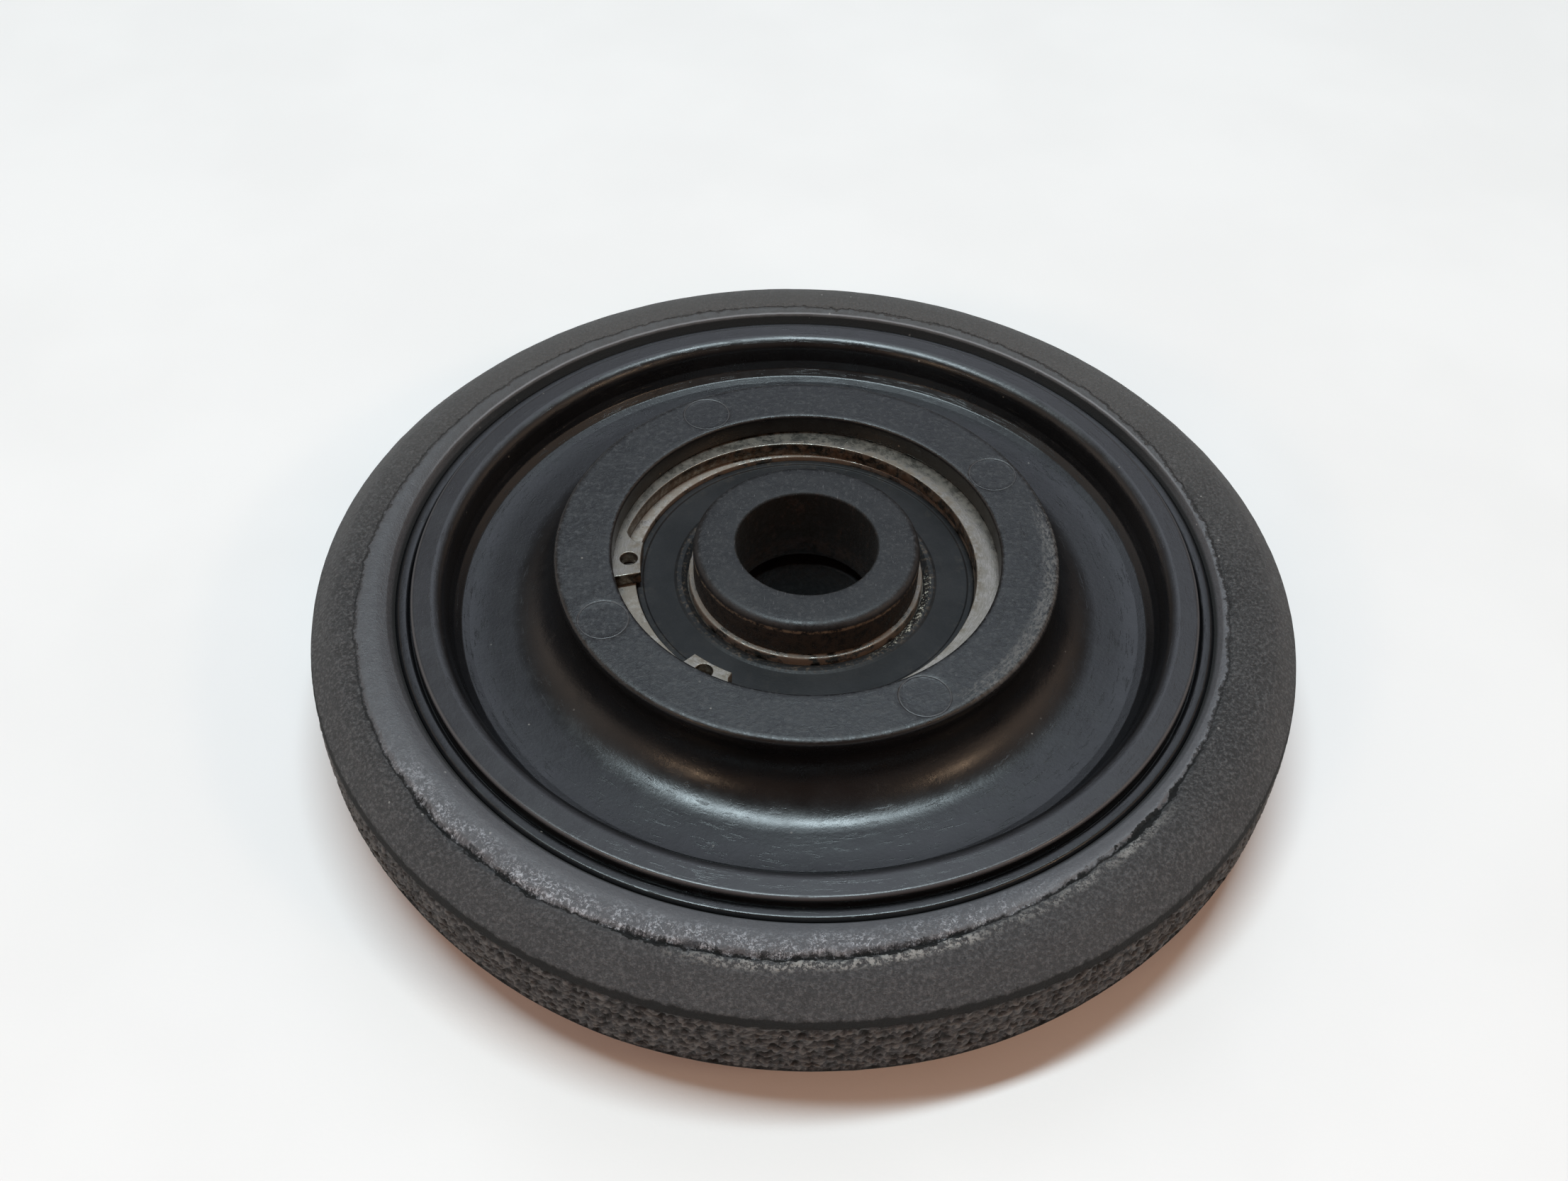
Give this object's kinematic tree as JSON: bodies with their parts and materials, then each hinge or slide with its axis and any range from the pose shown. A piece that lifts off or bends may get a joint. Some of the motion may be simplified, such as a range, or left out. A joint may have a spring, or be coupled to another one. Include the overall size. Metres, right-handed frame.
{
  "type": "idler wheel",
  "caption": "Black moulded-plastic idler wheel with a rubber tyre, a sealed ball bearing held by a snap ring, and two flanged half-bushings for its axle bolt.",
  "frame": {"origin": "on the spin axis at the outer face of the lower bushing, which is the bottom of the part as it lies flat", "axes": "+Z along the spin axis and up, from the lower bushing to the upper one; the snap ring is on the +Z side, with its gap towards -X and -Y"},
  "size_m": [0.1334, 0.1334, 0.0258],
  "materials": {
    "tyre_rubber": "matte moulded rubber, pebbled tread, scuffed shoulder with light dust",
    "wheel_plastic": "satin black moulded plastic, fine scuffs on the hub",
    "bearing_steel": "ground bearing steel with thin tan grime",
    "ball_steel": "polished bearing balls",
    "cage_steel": "pressed sheet steel with flush rivets",
    "seal_rubber": "dark grey satin rubber seal with dried grease specks",
    "spring_steel": "bright spring steel with brown grime on its inner edge",
    "bushing_steel": "black oxide steel, worn at the edges, with brown rust on its sides"
  },
  "bodies": {
    "axle_bushings": {"upper_bushing": "bushing_steel", "lower_bushing": "bushing_steel", "bearing_inner_ring": "bearing_steel"},
    "wheel": {"wheel_body": "wheel_plastic", "tyre": "tyre_rubber", "bearing_outer_ring": "bearing_steel", "upper_seal": "seal_rubber", "lower_seal": "seal_rubber", "snap_ring": "spring_steel"},
    "cage": {"upper_cage_half": "cage_steel", "lower_cage_half": "cage_steel", "cage_rivet_1": "cage_steel", "cage_rivet_2": "cage_steel", "cage_rivet_3": "cage_steel", "cage_rivet_4": "cage_steel", "cage_rivet_5": "cage_steel", "cage_rivet_6": "cage_steel", "cage_rivet_7": "cage_steel", "cage_rivet_8": "cage_steel", "cage_rivet_9": "cage_steel"},
    "rolling_ball_1": {"ball_1": "ball_steel"},
    "rolling_ball_2": {"ball_2": "ball_steel"},
    "rolling_ball_3": {"ball_3": "ball_steel"},
    "rolling_ball_4": {"ball_4": "ball_steel"},
    "rolling_ball_5": {"ball_5": "ball_steel"},
    "rolling_ball_6": {"ball_6": "ball_steel"},
    "rolling_ball_7": {"ball_7": "ball_steel"},
    "rolling_ball_8": {"ball_8": "ball_steel"},
    "rolling_ball_9": {"ball_9": "ball_steel"}
  },
  "joints": [
    {"name": "wheel_spin", "type": "hinge", "parent": "axle_bushings", "child": "wheel", "pos_m": [0, 0, 0.0129], "axis": [0, 0, 1], "continuous": true},
    {"name": "cage_spin", "type": "hinge", "parent": "axle_bushings", "child": "cage", "pos_m": [0, 0, 0.0129], "axis": [0, 0, 1], "continuous": true},
    {"name": "ball_1_roll", "type": "hinge", "parent": "cage", "child": "rolling_ball_1", "pos_m": [0.01925, 0, 0.0129], "axis": [0, 0, 1], "continuous": true},
    {"name": "ball_2_roll", "type": "hinge", "parent": "cage", "child": "rolling_ball_2", "pos_m": [0.01475, 0.01237, 0.0129], "axis": [0, 0, 1], "continuous": true},
    {"name": "ball_3_roll", "type": "hinge", "parent": "cage", "child": "rolling_ball_3", "pos_m": [0.00334, 0.01896, 0.0129], "axis": [0, 0, 1], "continuous": true},
    {"name": "ball_4_roll", "type": "hinge", "parent": "cage", "child": "rolling_ball_4", "pos_m": [-0.00962, 0.01667, 0.0129], "axis": [0, 0, 1], "continuous": true},
    {"name": "ball_5_roll", "type": "hinge", "parent": "cage", "child": "rolling_ball_5", "pos_m": [-0.01809, 0.00658, 0.0129], "axis": [0, 0, 1], "continuous": true},
    {"name": "ball_6_roll", "type": "hinge", "parent": "cage", "child": "rolling_ball_6", "pos_m": [-0.01809, -0.00658, 0.0129], "axis": [0, 0, 1], "continuous": true},
    {"name": "ball_7_roll", "type": "hinge", "parent": "cage", "child": "rolling_ball_7", "pos_m": [-0.00962, -0.01667, 0.0129], "axis": [0, 0, 1], "continuous": true},
    {"name": "ball_8_roll", "type": "hinge", "parent": "cage", "child": "rolling_ball_8", "pos_m": [0.00334, -0.01896, 0.0129], "axis": [0, 0, 1], "continuous": true},
    {"name": "ball_9_roll", "type": "hinge", "parent": "cage", "child": "rolling_ball_9", "pos_m": [0.01475, -0.01237, 0.0129], "axis": [0, 0, 1], "continuous": true}
  ],
  "couplings": [
    {"joint": "cage_spin", "follows": "wheel_spin", "ratio": 0.60309},
    {"joint": "ball_1_roll", "follows": "wheel_spin", "ratio": 2.322},
    {"joint": "ball_2_roll", "follows": "wheel_spin", "ratio": 2.322},
    {"joint": "ball_3_roll", "follows": "wheel_spin", "ratio": 2.322},
    {"joint": "ball_4_roll", "follows": "wheel_spin", "ratio": 2.322},
    {"joint": "ball_5_roll", "follows": "wheel_spin", "ratio": 2.322},
    {"joint": "ball_6_roll", "follows": "wheel_spin", "ratio": 2.322},
    {"joint": "ball_7_roll", "follows": "wheel_spin", "ratio": 2.322},
    {"joint": "ball_8_roll", "follows": "wheel_spin", "ratio": 2.322},
    {"joint": "ball_9_roll", "follows": "wheel_spin", "ratio": 2.322}
  ]
}
